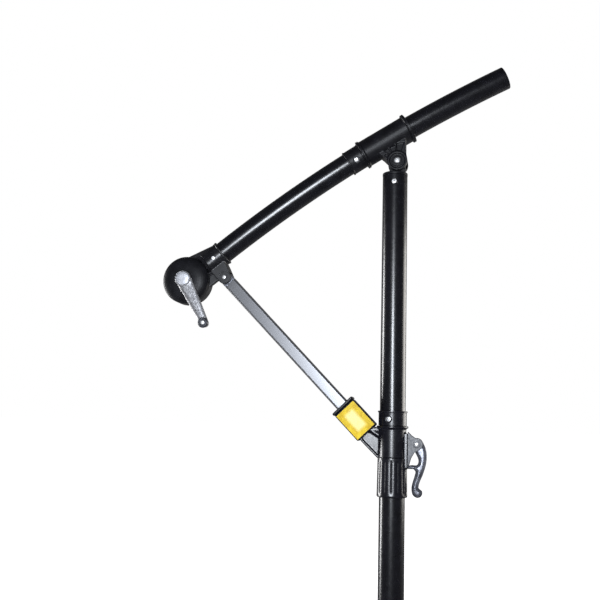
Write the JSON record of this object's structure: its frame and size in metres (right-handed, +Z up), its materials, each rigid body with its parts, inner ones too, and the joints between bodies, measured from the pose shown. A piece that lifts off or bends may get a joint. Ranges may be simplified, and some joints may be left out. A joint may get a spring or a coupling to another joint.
{
  "type": "umbrella swivel bracket",
  "caption": "Upper linkage of a side-post patio umbrella: curved arm on a top hinge, crank housing, strut, and a sliding collar with a brake lever on a round mast.",
  "frame": {"origin": "centre of the mast's foot, on the mast's axis", "axes": "+Z up the mast, -Y towards the side that shows the crank and the lever's pin, +X towards the arm's high end"},
  "size_m": [0.6787, 0.0808, 1.0268],
  "materials": {
    "black_paint": "semi-gloss",
    "black_plastic": "satin moulded",
    "steel": "zinc plated",
    "nylon": "natural nylon",
    "cap": "satin silver",
    "rubber": "matte",
    "chrome": "polished casting",
    "strut_paint": "satin silver-grey",
    "grey_casting": "satin dark grey casting",
    "yellow_film": "printed film"
  },
  "bodies": {
    "mast": {"mast_tube": "black_paint", "mast_foot_plug": "black_plastic", "mast_head": "black_plastic", "mast_rivet_front": "steel", "mast_rivet_rear": "steel", "hinge_bolt": "steel", "hinge_nut": "steel"},
    "arm": {"arm_tube": "black_paint", "arm_end_plug": "black_plastic", "arm_bracket": "black_plastic", "arm_neck_bush": "black_plastic", "arm_neck_rivet": "steel", "hinge_disc_front": "nylon", "hinge_disc_rear": "nylon", "hinge_washer_front": "black_plastic", "hinge_washer_rear": "black_plastic", "crank_housing": "black_plastic", "crank_cover": "black_plastic", "housing_rivet": "steel", "cover_screw_1": "steel", "cover_screw_2": "steel", "cover_screw_3": "steel", "shaft_bush_front": "nylon", "shaft_bush_rear": "nylon", "brake_washer": "rubber", "strut_top_pin": "steel", "strut_top_clip": "steel"},
    "crank": {"crank_shaft": "steel", "cord_spool": "black_plastic", "crank_arm": "chrome", "crank_screw": "steel", "crank_cap": "cap", "knob_pin": "steel"},
    "knob": {"crank_knob": "chrome"},
    "strut": {"strut_tube": "strut_paint", "strut_top_eye": "grey_casting", "strut_socket": "black_plastic", "socket_rim": "black_plastic", "yellow_label": "yellow_film", "strut_lower_pin": "steel", "socket_screw": "steel"},
    "collar": {"collar_body": "black_plastic", "collar_neck_bush": "black_plastic", "collar_rivet": "steel", "collar_grip": "black_plastic", "lever_bracket": "grey_casting", "bracket_screw_1": "steel", "bracket_screw_2": "steel", "lever_pin": "steel", "lever_pin_clip": "steel", "lever_spring": "steel"},
    "lever": {"lever": "grey_casting"},
    "shoe": {"brake_shoe": "rubber"}
  },
  "joints": [
    {"name": "arm_tilt", "type": "hinge", "parent": "mast", "child": "arm", "pos_m": [0.005, 0, 0.842], "axis": [0, -1, 0], "range_deg": [-18, 0]},
    {"name": "strut_swing", "type": "hinge", "parent": "arm", "child": "strut", "pos_m": [-0.3328, 0, 0.6146], "axis": [0, -1, 0], "range_deg": [-2, 32]},
    {"name": "collar_slide", "type": "slide", "parent": "mast", "child": "collar", "axis": [0, 0, 1], "range_m": [-0.002, 0.19]},
    {"name": "crank_turn", "type": "hinge", "parent": "arm", "child": "crank", "pos_m": [-0.4112, 0, 0.6088], "axis": [0, -1, 0], "continuous": true},
    {"name": "knob_spin", "type": "hinge", "parent": "crank", "child": "knob", "pos_m": [-0.36325, -0.044, 0.52048], "axis": [0, -1, 0], "continuous": true},
    {"name": "lever_pull", "type": "hinge", "parent": "collar", "child": "lever", "pos_m": [0.0453, 0, 0.3012], "axis": [0, -1, 0], "range_deg": [0, 28], "stiffness_Nm_per_rad": 0.6, "springref_deg": -14.32},
    {"name": "shoe_press", "type": "slide", "parent": "collar", "child": "shoe", "axis": [1, 0, 0], "range_m": [0, 0.0009]}
  ],
  "couplings": [
    {"joint": "strut_swing", "follows": "arm_tilt", "ratio": -1.7006},
    {"joint": "collar_slide", "follows": "arm_tilt", "m_per_rad": -0.5739},
    {"joint": "shoe_press", "follows": "lever_pull", "m_per_rad": 0.0016}
  ]
}
